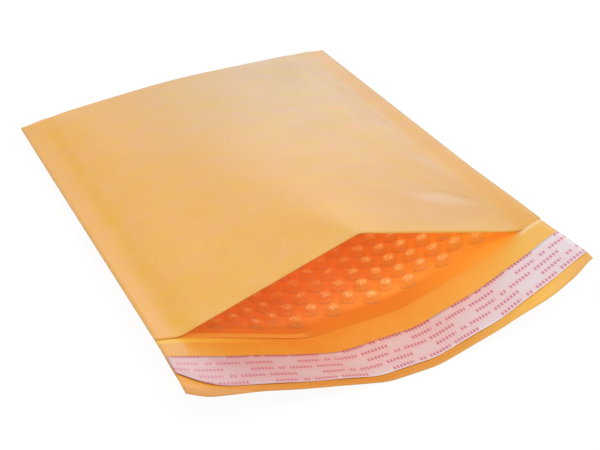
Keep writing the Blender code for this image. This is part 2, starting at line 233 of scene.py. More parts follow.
# %% Dent and buckle the front panel
across_grid, along_grid = np.meshgrid(columns, rows)
inside = 1.0 - ease(np.abs(across_grid), OPEN_HALF - 0.004, OPEN_HALF + 0.001)
down_pocket = ease(along_grid, 0.004, 0.050)
before_fold = 1.0 - ease(along_grid, POCKET_LENGTH - 0.030, POCKET_LENGTH - 0.004)


def soft_ridge(centre, heading, length, width, height):
    """A long low swelling on the panel. Its heading is measured from straight across, in degrees."""
    from_across = across_grid - centre[0]
    from_along = along_grid - centre[1]
    turn = math.radians(heading)
    lengthwise = from_across * math.cos(turn) + from_along * math.sin(turn)
    sideways = from_along * math.cos(turn) - from_across * math.sin(turn)
    return height * np.exp(-0.5 * ((lengthwise / length) ** 2 + (sideways / width) ** 2))


def ripples(shortest, longest, count, seed):
    """Gentle waves in all directions, from -1 to 1, the same at every run."""
    draw = np.random.default_rng(seed)
    total = np.zeros_like(across_grid)
    for _ in range(count):
        wavelength = draw.uniform(shortest, longest)
        turn, phase = draw.uniform(0, math.pi), draw.uniform(0, 2 * math.pi)
        run = across_grid * math.cos(turn) + along_grid * math.sin(turn)
        total += np.sin(2 * math.pi * run / wavelength + phase)
    return total / count


seam_distance = OPEN_HALF - np.abs(across_grid)
padding_step = 0.0015 * np.exp(-0.5 * ((seam_distance - 0.019) / 0.009) ** 2)
front_shape = padding_step * down_pocket * before_fold
front_shape += 0.0011 * ripples(0.05, 0.13, 9, seed=4) * inside * ease(along_grid, 0.010, 0.070)
for buckle in (
    ((0.078, 0.034), -30, 0.016, 0.0055, 0.0009),
    ((0.070, 0.052), -38, 0.018, 0.0055, -0.0006),
    ((0.076, 0.094), -62, 0.020, 0.0060, 0.0006),
    ((0.084, 0.138), -70, 0.018, 0.0055, 0.0005),
    ((0.080, 0.215), -76, 0.024, 0.0065, 0.0006),
    ((0.055, 0.040), -20, 0.020, 0.0070, 0.0005),
    ((-0.076, 0.130), 76, 0.030, 0.0050, -0.0007),
    ((-0.070, 0.225), 70, 0.020, 0.0060, -0.0008),
):
    front_shape += soft_ridge(*buckle) * inside
near_seam = 1.0 - ease(np.abs(np.abs(across_grid) - OPEN_HALF), 0.0, SEAM_WIDTH)
front_shape += 0.0010 * near_seam * ease(along_grid, POCKET_LENGTH - 0.070, POCKET_LENGTH)
front_z += front_shape
mouth_corner = ease(across_grid, 0.078, SHEET_WIDTH / 2) * (1.0 - ease(along_grid, 0.0, 0.085))
corner_rise = mouth_corner * (0.0018 - 0.0006 * ease(-along_grid, 0.0, FLAP_LENGTH))
front_z += corner_rise
back_z += corner_rise
towards_end = ease(-along_grid, 0.0, FLAP_LENGTH)
back_x += towards_end * (0.0019 * ease(across_grid, 0.040, SHEET_WIDTH / 2) - 0.0015 * ease(-across_grid, 0.060, SHEET_WIDTH / 2))
turned_down = ease(across_grid, 0.052, 0.080) * (1.0 - 0.8 * ease(across_grid, 0.088, SHEET_WIDTH / 2))
back_z -= 0.0036 * turned_down * ease(-along_grid, -STRIP_FAR_EDGE - 0.001, FLAP_LENGTH)
back_z += 0.0005 * ripples(0.05, 0.12, 7, seed=9) * inside * down_pocket * before_fold
back_z = np.maximum(back_z, 0.0)
print("front panel moved by", round(front_shape.min() * 1000, 2), "to", round(front_shape.max() * 1000, 2), "mm")

# %% [markdown]
# One function folds every sheet.
#
# Given places on a flat sheet and a depth under the paper's outer face, it reads both tables, puts the place
# on the back or the front panel, and carries it round the rounded nose at the bottom fold. A Lattice or a
# Curve modifier could bend a sheet too, but neither turns a sheet sharply round and lays it on itself.

# %% Fold places from flat to lying
EAR_ACROSS = 0.034
EAR_ALONG = 0.0075
EAR_DROP = 0.0022


def read_table(table, across, along):
    """The table's value at any place between its rows and columns."""
    column = np.clip((across - columns[0]) / (columns[1] - columns[0]), 0, len(columns) - 1.001)
    row = np.clip((along - rows[0]) / (rows[1] - rows[0]), 0, len(rows) - 1.001)
    left, near = column.astype(int), row.astype(int)
    low = mix(table[near, left], table[near, left + 1], column - left)
    high = mix(table[near + 1, left], table[near + 1, left + 1], column - left)
    return mix(low, high, row - near)


def fold(across, along, depth):
    """Where places on a flat sheet come to lie, at a depth under the paper's outer face."""
    across, along, depth = np.broadcast_arrays(across, along, depth)
    on_front = along > POCKET_LENGTH
    from_mouth = np.where(on_front, FRONT_MOUTH - along, along)
    bx, bz = read_table(back_x, across, from_mouth), read_table(back_z, across, from_mouth)
    fx, fz = read_table(front_x, across, from_mouth), read_table(front_z, across, from_mouth)
    turn = np.maximum(0.0, (from_mouth - NOSE_START) / NOSE_RADIUS)
    half_gap = (fz - bz) / 2 - depth
    x = mix(np.where(on_front, fx, bx), bx, 1 - np.cos(turn))
    y = MOUTH_Y + np.minimum(from_mouth, NOSE_START) + (NOSE_RADIUS - depth) * np.sin(turn)
    z = (fz + bz) / 2 + np.where(on_front, 1, -1) * half_gap * np.cos(turn)
    ear = np.maximum(0, 1 - (across + SHEET_WIDTH / 2) / EAR_ACROSS - (along + FLAP_LENGTH) / EAR_ALONG)
    on_flap = from_mouth <= 0.0
    flap_z = bz + depth - EAR_DROP * ear
    z = np.where(on_flap & ~on_front, flap_z, z)
    x = np.where(on_flap & ~on_front, bx, x)
    return np.stack([x, y, z], axis=-1)


print("front mouth apex at", np.round(fold(0.0055, FRONT_MOUTH, 0.0), 4))

# %% [markdown]
# A sheet is cut as a flat grid, marked with its own measurements, and then folded.
#
# The grid comes from one bmesh operator. Before it is folded, each corner of it writes its flat place into a
# UV map called "sheet", in metres. That is what the materials read, so fibres, wear and print run with the
# paper and not through it.

# %% Cut, mark and fold a sheet
def cut_sheet(across_range, along_range, cell):
    """A flat bmesh grid between two places across and two places along."""
    sheet = bmesh.new()
    width = across_range[1] - across_range[0]
    length = along_range[1] - along_range[0]
    bmesh.ops.create_grid(
        sheet, x_segments=max(1, round(width / cell)), y_segments=max(1, round(length / cell)), size=0.5
    )
    bmesh.ops.scale(sheet, vec=(width, length, 1), verts=sheet.verts)
    middle = Vector((sum(across_range) / 2, sum(along_range) / 2, 0))
    bmesh.ops.translate(sheet, vec=middle, verts=sheet.verts)
    return sheet


def mark_sheet(sheet):
    """Write the flat place of every corner into the UV map that the materials read."""
    layer = sheet.loops.layers.uv.new("sheet")
    for face in sheet.faces:
        for loop in face.loops:
            loop[layer].uv = loop.vert.co.xy


def fold_sheet(sheet, depth_of):
    """Carry every vertex to its folded place. Its own height counts as depth under the surface."""
    flat = np.array([vert.co for vert in sheet.verts])
    lying = fold(flat[:, 0], flat[:, 1], depth_of(flat[:, 0], flat[:, 1]) + flat[:, 2])
    for vert, place in zip(sheet.verts, lying):
        vert.co = place


def make_piece(name, sheet, materials):
    """Turn a bmesh into a smooth-shaded object at the origin, with its materials."""
    mesh = bpy.data.meshes.new(name)
    sheet.to_mesh(mesh)
    sheet.free()
    mesh.shade_smooth()
    for material in materials:
        mesh.materials.append(material)
    piece = bpy.data.objects.new(name, mesh)
    bpy.context.scene.collection.objects.link(piece)
    return piece


def give_thickness(piece, thickness, offset):
    """A wall for a single sheet: offset -1 grows it under the surface, 1 above it."""
    wall = piece.modifiers.new("wall", "SOLIDIFY")
    wall.thickness = thickness
    wall.offset = offset
    wall.use_even_offset = False
    wall.use_quality_normals = True
    return wall

# %% [markdown]
# Materials are built from nodes, and nodes are wired by a few short helpers.
#
# In the editor each of these is one drag of the mouse. In a script they would repeat three lines at a time,
# so they are named once here: plug in a value or a wire, do a sum, blend two colours, make a soft step.

# %% Helpers for wiring nodes
def plug(tree, given, socket):
    """Wire another node's output into a socket, or set a plain value on it."""
    if isinstance(given, bpy.types.NodeSocket):
        tree.links.new(given, socket)
    else:
        socket.default_value = given


def sum_up(tree, operation, *given, clamp=False):
    """A Math node with its inputs filled."""
    node = tree.nodes.new("ShaderNodeMath")
    node.operation = operation
    node.use_clamp = clamp
    for socket, value in zip(node.inputs, given):
        plug(tree, value, socket)
    return node.outputs[0]


def blend_colours(tree, share, first, second, how="MIX"):
    """A Mix node for colours."""
    node = tree.nodes.new("ShaderNodeMix")
    node.data_type = "RGBA"
    node.blend_type = how
    for socket, value in zip((node.inputs[0], node.inputs[6], node.inputs[7]), (share, first, second)):
        plug(tree, value, socket)
    return node.outputs[2]


def soft_step(tree, value, start, end, low=0.0, high=1.0):
    """A Map Range node that goes smoothly from low at start to high at end."""
    node = tree.nodes.new("ShaderNodeMapRange")
    node.interpolation_type = "SMOOTHSTEP"
    for socket, given in zip(node.inputs, (value, start, end, low, high)):
        plug(tree, given, socket)
    return node.outputs[0]


def noise(tree, place, scale, detail=2.0, roughness=0.5, stretch=(1, 1, 1), turn=0.0):
    """A Noise texture, on a place that is first turned and stretched."""
    mapping = tree.nodes.new("ShaderNodeMapping")
    mapping.vector_type = "TEXTURE"
    plug(tree, place, mapping.inputs["Vector"])
    mapping.inputs["Rotation"].default_value = (0, 0, turn)
    mapping.inputs["Scale"].default_value = stretch
    node = tree.nodes.new("ShaderNodeTexNoise")
    tree.links.new(mapping.outputs[0], node.inputs["Vector"])
    plug(tree, scale, node.inputs["Scale"])
    node.inputs["Detail"].default_value = detail
    node.inputs["Roughness"].default_value = roughness
    return node.outputs["Fac"]


def bump(tree, height, distance, strength=1.0, normal=None):
    """A Bump node from a height in units of distance."""
    node = tree.nodes.new("ShaderNodeBump")
    if normal is not None:
        tree.links.new(normal, node.inputs["Normal"])
    node.inputs["Strength"].default_value = strength
    node.inputs["Distance"].default_value = distance
    plug(tree, height, node.inputs["Height"])
    return node.outputs[0]


def start_group(name, inputs, outputs):
    """An empty shader node group with named sockets."""
    group = bpy.data.node_groups.new(name, "ShaderNodeTree")
    for title, kind in inputs:
        group.interface.new_socket(title, in_out="INPUT", socket_type=kind)
    for title, kind in outputs:
        group.interface.new_socket(title, in_out="OUTPUT", socket_type=kind)
    return group, group.nodes.new("NodeGroupInput"), group.nodes.new("NodeGroupOutput")


def place_group(tree, group, **given):
    """One use of a group in a material, with its inputs filled by name."""
    node = tree.nodes.new("ShaderNodeGroup")
    node.node_tree = group
    for title, value in given.items():
        plug(tree, value, node.inputs[title.replace("_", " ")])
    return node.outputs


def new_material(name, roughness, **constants):
    """A material with a Principled shader, its plain values set on the shader's own sockets."""
    material = bpy.data.materials.new(name)
    material.use_nodes = True
    shader = material.node_tree.nodes["Principled BSDF"]
    shader.inputs["Roughness"].default_value = roughness
    for title, value in constants.items():
        shader.inputs[title.replace("_", " ")].default_value = value
    return material, material.node_tree, shader


def sheet_place(tree):
    """The flat place on the sheet, in metres, as a vector and as its two parts."""
    uv = tree.nodes.new("ShaderNodeUVMap")
    uv.uv_map = "sheet"
    split = tree.nodes.new("ShaderNodeSeparateXYZ")
    tree.links.new(uv.outputs[0], split.inputs[0])
    return uv.outputs[0], split.outputs[0], split.outputs[1]


FLOAT, COLOUR, VECTOR = "NodeSocketFloat", "NodeSocketColor", "NodeSocketVector"

# %% [markdown]
# Kraft paper is a felt of long wood fibres, pressed and calendered.
#
# Close up it has fine streaks that mostly run one way, a few crossing them, and soft clouds where the pulp
# was thicker. One Noise texture alone looks like stone. So this group stretches three of them along and
# across the sheet for fibres, and adds two round ones for the clouds. Every paper surface uses the group.

# %% Node group: paper fibres
paper_fibres, taken, given_out = start_group(
    "paper_fibres", [("Place", VECTOR), ("Fineness", FLOAT)],
    [("Fibres", FLOAT), ("Clouds", FLOAT), ("Height", FLOAT)],
)
place, fineness = taken.outputs["Place"], taken.outputs["Fineness"]
long_fibres = noise(paper_fibres, place, fineness, 3.0, 0.6, (7.0, 1.0, 1.0), math.radians(36))
cross_fibres = noise(paper_fibres, place, fineness, 2.0, 0.55, (4.5, 1.0, 1.0), math.radians(112))
short_fibres = noise(paper_fibres, place, sum_up(paper_fibres, "MULTIPLY", fineness, 2.3), 2.0, 0.6,
                     (3.0, 1.0, 1.0), math.radians(12))
both = sum_up(paper_fibres, "MULTIPLY_ADD", long_fibres, 0.5, sum_up(paper_fibres, "MULTIPLY", cross_fibres, 0.28))
fibres = sum_up(paper_fibres, "MULTIPLY_ADD", short_fibres, 0.22, both)
wide_clouds = noise(paper_fibres, place, sum_up(paper_fibres, "MULTIPLY", fineness, 0.03), 2.0)
small_clouds = noise(paper_fibres, place, sum_up(paper_fibres, "MULTIPLY", fineness, 0.14), 3.0)
clouds = sum_up(paper_fibres, "MULTIPLY_ADD", wide_clouds, 0.6, sum_up(paper_fibres, "MULTIPLY", small_clouds, 0.4))
paper_fibres.links.new(fibres, given_out.inputs["Fibres"])
paper_fibres.links.new(clouds, given_out.inputs["Clouds"])
height = sum_up(paper_fibres, "MULTIPLY_ADD", small_clouds, 0.8, fibres)
paper_fibres.links.new(height, given_out.inputs["Height"])
print("paper_fibres has", len(paper_fibres.nodes), "nodes")

# %% [markdown]
# A crease or an edge wears pale, and never evenly.
#
# Pointiness would find edges by itself, but it depends on the mesh. The sheet's own measurements say exactly
# where each fold and edge is, so this group takes the distance from one, turns it into a soft line, and
# breaks the line up with noise.

# %% Node group: edge wear
edge_wear, taken, given_out = start_group(
    "edge_wear", [("Place", VECTOR), ("Distance", FLOAT), ("Width", FLOAT)], [("Mask", FLOAT)]
)
line = soft_step(edge_wear, taken.outputs["Distance"], 0.0, taken.outputs["Width"], 1.0, 0.0)
scuffs = noise(edge_wear, taken.outputs["Place"], 260.0, 4.0, 0.65)
broken = soft_step(edge_wear, scuffs, 0.38, 0.66)
edge_wear.links.new(sum_up(edge_wear, "MULTIPLY", line, broken), given_out.inputs["Mask"])

# %% [markdown]
# The outside of the paper: golden kraft with a satin face.
#
# Its colour is even at first sight. Looked at closely, it is a little pinker on the sealed strip itself,
# clouded all over, and pale along the creases and edges. Painted shade, warmer and yellower, lies in the dip
# beside each seam and darkens the right side near the mouth, and a painted lit band runs along the mouth on
# the right. A pale painted sheen, which stands for the soft box's reflection, grows towards the right and away
# from the mouth, and more painted sheen lies in patches on the buckles. Each of these is a mask made from the
# sheet's measurements, and each mixes in one colour. The rest of the gloss is left to the shader, whose
# roughness varies with the clouds.

# %% Material: kraft outside
def from_line(tree, value, centre):
    """The distance of a measurement from one line."""
    return sum_up(tree, "ABSOLUTE", sum_up(tree, "SUBTRACT", value, centre))


def soft_patch(tree, place, centre, heading, half_length, half_width):
    """A soft oval spot: 1 at its centre, 0 at its rim. Its heading is measured from straight across, in degrees."""
    mapping = tree.nodes.new("ShaderNodeMapping")
    mapping.vector_type = "TEXTURE"
    plug(tree, place, mapping.inputs["Vector"])
    mapping.inputs["Location"].default_value = (*centre, 0)
    mapping.inputs["Rotation"].default_value = (0, 0, math.radians(heading))
    mapping.inputs["Scale"].default_value = (half_length, half_width, 1)
    reach = tree.nodes.new("ShaderNodeVectorMath")
    reach.operation = "LENGTH"
    tree.links.new(mapping.outputs[0], reach.inputs[0])
    return soft_step(tree, reach.outputs["Value"], 0.15, 1.0, 1.0, 0.0)


def kraft_finish(name, base, fibre_dark, cloud_pale, roughness, grain):
    """The parts that all kraft surfaces share: fibres, clouds, satin and bump."""
    material, tree, shader = new_material(name, roughness, Specular_IOR_Level=0.35)
    place, across, along = sheet_place(tree)
    felt = place_group(tree, paper_fibres, Place=place, Fineness=grain)
    clouds = soft_step(tree, felt["Clouds"], 0.36, 0.66)
    colour = blend_colours(tree, clouds, base, cloud_pale)
    dark = soft_step(tree, felt["Fibres"], 0.44, 0.62)
    colour = blend_colours(tree, sum_up(tree, "MULTIPLY", dark, 0.35), colour, fibre_dark)
    plug(tree, soft_step(tree, felt["Clouds"], 0.3, 0.7, roughness - 0.06, roughness + 0.07),
         shader.inputs["Roughness"])
    plug(tree, bump(tree, felt["Height"], 0.00012, 0.5), shader.inputs["Normal"])
    return material, tree, shader, place, across, along, colour


KRAFT = (0.88, 0.445, 0.073, 1.0)
KRAFT_DARK = (0.81, 0.385, 0.060, 1.0)
KRAFT_PALE = (0.89, 0.480, 0.120, 1.0)
KRAFT_PAINTED_SHEEN = (0.720, 0.475, 0.240, 1.0)
KRAFT_DIP_SHADE = (0.84, 0.42, 0.036, 1.0)
KRAFT_SEAM = (0.84, 0.42, 0.105, 1.0)
KRAFT_SHADED = (0.68, 0.355, 0.086, 1.0)
KRAFT_LIT = (0.80, 0.42, 0.066, 1.0)
KRAFT_WORN = (0.88, 0.62, 0.33, 1.0)
KRAFT_LIT_EDGE = (0.82, 0.42, 0.07, 1.0)
PAINTED_BUCKLE_SHEEN = (0.80, 0.50, 0.33, 1.0)
ORANGE_SPOT = (0.86, 0.40, 0.14, 1.0)
ROSY_TINT = (1.01, 0.965, 1.30, 1.0)
GOLDEN_TINT = (1.0, 1.02, 0.76, 1.0)
KRAFT_EDGE_SHADE = (0.52, 0.24, 0.06, 1.0)

kraft_outside, tree, shader, place, across, along, colour = kraft_finish(
    "kraft_outside", KRAFT, KRAFT_DARK, KRAFT_PALE, 0.42, 900.0
)
from_mouth = sum_up(tree, "SUBTRACT", FRONT_MOUTH, along)
# Painted sheen: a pale veil for the soft box's reflection, stronger to the right and away from the mouth.
painted_sheen = sum_up(tree, "MULTIPLY", soft_step(tree, across, -0.095, 0.060), soft_step(tree, from_mouth, 0.0, 0.25, 0.20, 1.0))
colour = blend_colours(tree, painted_sheen, colour, KRAFT_PAINTED_SHEEN)
shaded = sum_up(tree, "MULTIPLY", soft_step(tree, across, -0.010, 0.060), soft_step(tree, from_mouth, 0.0, 0.15, 0.85, 0.0))
shaded = sum_up(tree, "MULTIPLY", shaded, soft_step(tree, across, OPEN_HALF - 0.002, OPEN_HALF + 0.003, 1.0, 0.45))
colour = blend_colours(tree, shaded, colour, KRAFT_SHADED)
side_distance = sum_up(tree, "ABSOLUTE", across)
# Painted shade, warmer and yellower, in the dip beside each seam: broken into patches, and stronger on the left.
dip_wide = soft_step(tree, from_mouth, 0.0, 0.070, 0.0110, 0.0055)
dip_shade = soft_step(tree, from_line(tree, side_distance, OPEN_HALF - 0.0045), 0.0010, dip_wide, 1.0, 0.0)
patchy_shade = soft_step(tree, noise(tree, place, 60.0, 3.0, 0.6), 0.35, 0.62, 0.35, 1.0)
dip_shade = sum_up(tree, "MULTIPLY", dip_shade, patchy_shade)
on_seam = soft_step(tree, side_distance, OPEN_HALF - 0.001, OPEN_HALF + 0.003)
on_right = soft_step(tree, across, -0.020, 0.050)
colour = blend_colours(tree, sum_up(tree, "MULTIPLY", on_seam, 0.45), colour, KRAFT_SEAM)
dip_shade_share = sum_up(tree, "MULTIPLY", dip_shade, sum_up(tree, "MULTIPLY_ADD", on_right, -0.65, 0.75))
colour = blend_colours(tree, dip_shade_share, colour, KRAFT_DIP_SHADE)
lit_edge = sum_up(tree, "MULTIPLY", soft_step(tree, from_mouth, 0.0020, 0.0150, 1.0, 0.0), on_right)
colour = blend_colours(tree, sum_up(tree, "MULTIPLY", lit_edge, 0.75), colour, KRAFT_LIT)
blotches = noise(tree, place, 75.0, 4.0, 0.6, (1.4, 1.0, 1.0), math.radians(20))
rosy = sum_up(tree, "MULTIPLY", soft_step(tree, blotches, 0.47, 0.66), 0.65)
colour = blend_colours(tree, rosy, colour, ROSY_TINT, "MULTIPLY")
golden = sum_up(tree, "MULTIPLY", soft_step(tree, blotches, 0.34, 0.52, 1.0, 0.0), 0.65)
colour = blend_colours(tree, golden, colour, GOLDEN_TINT, "MULTIPLY")
# Painted sheen on the buckles of the right wing, painted light near the mouth, and two small orange spots.
for centre, heading, half_length, half_width, tint, share in (
    ((0.064, 0.036), 21, 0.023, 0.0095, PAINTED_BUCKLE_SHEEN, 0.60),
    ((0.081, 0.088), 80, 0.026, 0.0080, PAINTED_BUCKLE_SHEEN, 0.45),
    ((0.081, 0.142), 80, 0.020, 0.0070, PAINTED_BUCKLE_SHEEN, 0.40),
    ((0.083, 0.228), 84, 0.030, 0.0050, PAINTED_BUCKLE_SHEEN, 0.40),
    ((0.002, 0.018), 20, 0.036, 0.0150, KRAFT_LIT, 0.40),
    ((0.076, 0.012), -20, 0.024, 0.0110, KRAFT_LIT, 0.50),
    ((0.0637, 0.170), 0, 0.0040, 0.0036, ORANGE_SPOT, 0.50),
    ((0.0604, 0.139), 0, 0.0040, 0.0036, ORANGE_SPOT, 0.50),
):
    patch = soft_patch(tree, place, (centre[0], FRONT_MOUTH - centre[1]), heading, half_length, half_width)
    colour = blend_colours(tree, sum_up(tree, "MULTIPLY", patch, share), colour, tint)
worn = None
for measure, line, width in (
    (side_distance, SHEET_WIDTH / 2, 0.0012),
    (along, POCKET_LENGTH, 0.0050),
    (along, 0.0, 0.0018),
):
    mask = place_group(tree, edge_wear, Place=place, Distance=from_line(tree, measure, line), Width=width)["Mask"]
    worn = mask if worn is None else sum_up(tree, "MAXIMUM", worn, mask)
colour = blend_colours(tree, sum_up(tree, "MULTIPLY", worn, 0.4), colour, KRAFT_WORN)
plug(tree, colour, shader.inputs["Base Color"])
print("kraft_outside has", len(tree.nodes), "nodes")

# %% [markdown]
# The inside of the paper shows on the flap.
#
# It is the same sheet, but it hasn't been calendered, so it is a little rougher and a deeper orange. A pale
# scuffed line runs along the crease at the mouth.

# %% Material: kraft inside, and the cut edge
INSIDE = (0.86, 0.35, 0.040, 1.0)
INSIDE_DARK = (0.80, 0.30, 0.032, 1.0)
INSIDE_PALE = (0.88, 0.40, 0.060, 1.0)
INSIDE_SUNNY = (0.92, 0.51, 0.090, 1.0)
INSIDE_SUNLIT_CREASE = (0.96, 0.56, 0.070, 1.0)
INSIDE_SEAM = (0.84, 0.44, 0.13, 1.0)
INSIDE_SCUFFED = (0.96, 0.66, 0.34, 1.0)
INSIDE_SHADED = (0.88, 0.80, 0.85, 1.0)
kraft_inside, tree, shader, place, across, along, colour = kraft_finish(
    "kraft_inside", INSIDE, INSIDE_DARK, INSIDE_PALE, 0.5, 800.0
)
colour = blend_colours(tree, soft_step(tree, across, -0.02, 0.09), colour, INSIDE_SUNNY)
seam_end = sum_up(tree, "MULTIPLY", soft_step(tree, sum_up(tree, "ABSOLUTE", across), OPEN_HALF - 0.002, OPEN_HALF + 0.001),
                  soft_step(tree, along, -0.020, -0.012))
seam_end = sum_up(tree, "MULTIPLY", seam_end, soft_step(tree, across, 0.0, 0.050, 0.80, 0.20))
colour = blend_colours(tree, seam_end, colour, INSIDE_SEAM)
turned_corner = sum_up(tree, "ADD", sum_up(tree, "ADD", across, SHEET_WIDTH / 2),
                       sum_up(tree, "MULTIPLY", sum_up(tree, "ADD", along, FLAP_LENGTH), EAR_ACROSS / EAR_ALONG))
on_ear = soft_step(tree, turned_corner, EAR_ACROSS - 0.004, EAR_ACROSS, 1.0, 0.0)
colour = blend_colours(tree, sum_up(tree, "MULTIPLY", on_ear, 0.8), colour, INSIDE_SEAM)
# A painted sunlit band along the crease, on the left of the flap.
sunlit = sum_up(tree, "MULTIPLY", soft_step(tree, from_line(tree, along, -0.0015), 0.0012, 0.0036, 1.0, 0.0),
                soft_step(tree, across, -0.080, -0.036, 1.0, 0.0))
colour = blend_colours(tree, sum_up(tree, "MULTIPLY", sunlit, 0.85), colour, INSIDE_SUNLIT_CREASE)
outer_margin = sum_up(tree, "MULTIPLY", soft_step(tree, along, STRIP_FAR_EDGE - 0.0020, STRIP_FAR_EDGE + 0.0010, 1.0, 0.0),
                      soft_step(tree, across, 0.030, 0.080, 1.0, 0.0))
colour = blend_colours(tree, sum_up(tree, "MULTIPLY", outer_margin, 1.0), colour, INSIDE_SHADED, "MULTIPLY")
right_tip = sum_up(tree, "MULTIPLY", soft_step(tree, along, STRIP_FAR_EDGE - 0.0020, STRIP_FAR_EDGE + 0.0010, 1.0, 0.0),
                   soft_step(tree, across, 0.070, 0.095))
colour = blend_colours(tree, sum_up(tree, "MULTIPLY", right_tip, 0.8), colour, INSIDE_SEAM)
scuffed = soft_step(tree, from_line(tree, along, -0.0008), 0.0010, 0.0032, 1.0, 0.0)
on_right = soft_step(tree, across, 0.082, 0.090)
colour = blend_colours(tree, sum_up(tree, "MULTIPLY", scuffed, sum_up(tree, "MULTIPLY", on_right, 0.8)), colour, INSIDE_SCUFFED)
plug(tree, colour, shader.inputs["Base Color"])

# The cut edge is painted dark brown as the shade under the mouth's edge, painted a lit orange on the right, and worn
# pale on the right seam.
kraft_edge, tree, shader, place, across, along, colour = kraft_finish(
    "kraft_edge", KRAFT_EDGE_SHADE, KRAFT_EDGE_SHADE, KRAFT_DARK, 0.6, 2400.0
)
colour = blend_colours(tree, soft_step(tree, across, 0.004, 0.020), colour, KRAFT_LIT_EDGE)
sealed = soft_step(tree, across, OPEN_HALF - 0.001, OPEN_HALF + 0.002)
colour = blend_colours(tree, sum_up(tree, "MULTIPLY", sealed, 0.9), colour, KRAFT_WORN)
plug(tree, colour, shader.inputs["Base Color"])

# %% [markdown]
# The envelope's body is one sheet of paper, 197 mm wide and 615 mm long.
#
# It is cut as one grid from the flap's edge to the front panel's mouth, and folded. A grid faces up, and on
# the back panel and the flap up is the inside, so its faces are reversed once before the wall grows inwards.
# Solidify gives the wall, and its material offsets put the inside's colour on the inner face and the cut
# edge's on the rim.

# %% Piece: the kraft paper
PAPER_WALL = 0.00036
paper = cut_sheet((-SHEET_WIDTH / 2, SHEET_WIDTH / 2), (-FLAP_LENGTH, FRONT_MOUTH), 0.0022)
mark_sheet(paper)
bmesh.ops.reverse_faces(paper, faces=paper.faces)
fold_sheet(paper, lambda across, along: np.zeros_like(across))
kraft_paper = make_piece("kraft_paper", paper, (kraft_outside, kraft_inside, kraft_edge))
wall = give_thickness(kraft_paper, PAPER_WALL, -1.0)
wall.material_offset = 1
wall.material_offset_rim = 2
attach(kraft_paper, "root")
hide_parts("kraft_shell")
print("kraft paper:", len(kraft_paper.data.polygons), "faces before its wall")

# %% [markdown]
# Bubble film is two films of clear plastic with air sealed between them in domes.
#
# Seen inside the envelope it takes the paper's orange. Its colour is painted shade, deepest far inside the
# pocket, and painted light, bright near the mouth and on the right, where daylight comes through the paper:
# a little emission stands for that light. The domes are creased; their tops get painted light, a painted glow
# and painted glints along the creases, and their feet get painted shade on the near side. A patch of painted
# sheen lies a few centimetres in from the mouth, and painted glints run along the edge of the smooth margin.
# A second UV map, "dome", holds a corner's place across its own dome, in parts of its radius from the
# centre, which gives those masks.

# %% Material: bubble film
FILM_DEEP_SHADE = (0.66, 0.150, 0.048, 1.0)
FILM_BRIGHT = (0.85, 0.45, 0.080, 1.0)
FILM_SUNNY = (0.80, 0.62, 0.090, 1.0)
FILM_FOOT_SHADE = (0.62, 0.15, 0.022, 1.0)
FILM_LIT_TOP = (0.98, 0.50, 0.11, 1.0)
FILM_GLINT = (1.0, 0.78, 0.44, 1.0)
FILM_MARGIN = (0.60, 0.195, 0.016, 1.0)
FILM_MARGIN_SHADED = (0.46, 0.125, 0.013, 1.0)
FILM_MARGIN_SUNNY = (0.77, 0.42, 0.042, 1.0)
FILM_PAINTED_SHEEN = (0.86, 0.33, 0.145, 1.0)
DOME_GLOW = (1.0, 0.54, 0.15, 1.0)
FILM_LIT_LIP = (0.66, 0.33, 0.050, 1.0)
PAPER_GLOW = (1.0, 0.40, 0.085, 1.0)
DIM_GLOW = (0.48, 0.13, 0.020, 1.0)
FLAT_FILM = 2.0

film, tree, shader = new_material(
    "bubble_film", 0.30, Specular_IOR_Level=0.5, Coat_Roughness=0.08, Emission_Strength=0.42
)
place, across, along = sheet_place(tree)
dome_uv = tree.nodes.new("ShaderNodeUVMap")
dome_uv.uv_map = "dome"
dome = tree.nodes.new("ShaderNodeSeparateXYZ")
tree.links.new(dome_uv.outputs[0], dome.inputs[0])
radius = tree.nodes.new("ShaderNodeVectorMath")
radius.operation = "LENGTH"
tree.links.new(dome_uv.outputs[0], radius.inputs[0])
from_centre = radius.outputs["Value"]
# The film's colour is painted shade deep in the pocket and painted light towards the mouth and the right.
mouth_distance = sum_up(tree, "MINIMUM", along, sum_up(tree, "SUBTRACT", FRONT_MOUTH, along))
open_air = sum_up(tree, "SUBTRACT", sum_up(tree, "MULTIPLY", across, 0.55), sum_up(tree, "MULTIPLY", mouth_distance, 0.7))
brightness = soft_step(tree, open_air, -0.048, 0.014)
patches = noise(tree, place, 45.0, 2.0)
brightness = sum_up(tree, "MULTIPLY_ADD", sum_up(tree, "SUBTRACT", patches, 0.5), 0.5, brightness, clamp=True)
colour = blend_colours(tree, brightness, FILM_DEEP_SHADE, FILM_BRIGHT)
colour = blend_colours(tree, soft_step(tree, across, 0.050, 0.078, 0.0, 0.8), colour, FILM_SUNNY)
on_dome = soft_step(tree, from_centre, 1.2, 1.5, 1.0, 0.0)
# Painted shade at the foot of each dome, mostly on its near side.
towards_mouth = sum_up(tree, "MULTIPLY_ADD", dome.outputs[0], -0.5, sum_up(tree, "MULTIPLY", dome.outputs[1], -0.87))
near_side = soft_step(tree, towards_mouth, 0.25, 0.85)
foot_shade = sum_up(tree, "MULTIPLY", soft_step(tree, from_centre, 0.78, 0.98), on_dome)
foot_shade = sum_up(tree, "MULTIPLY", foot_shade, sum_up(tree, "MULTIPLY_ADD", near_side, 0.60, 0.02))
colour = blend_colours(tree, foot_shade, colour, FILM_FOOT_SHADE)
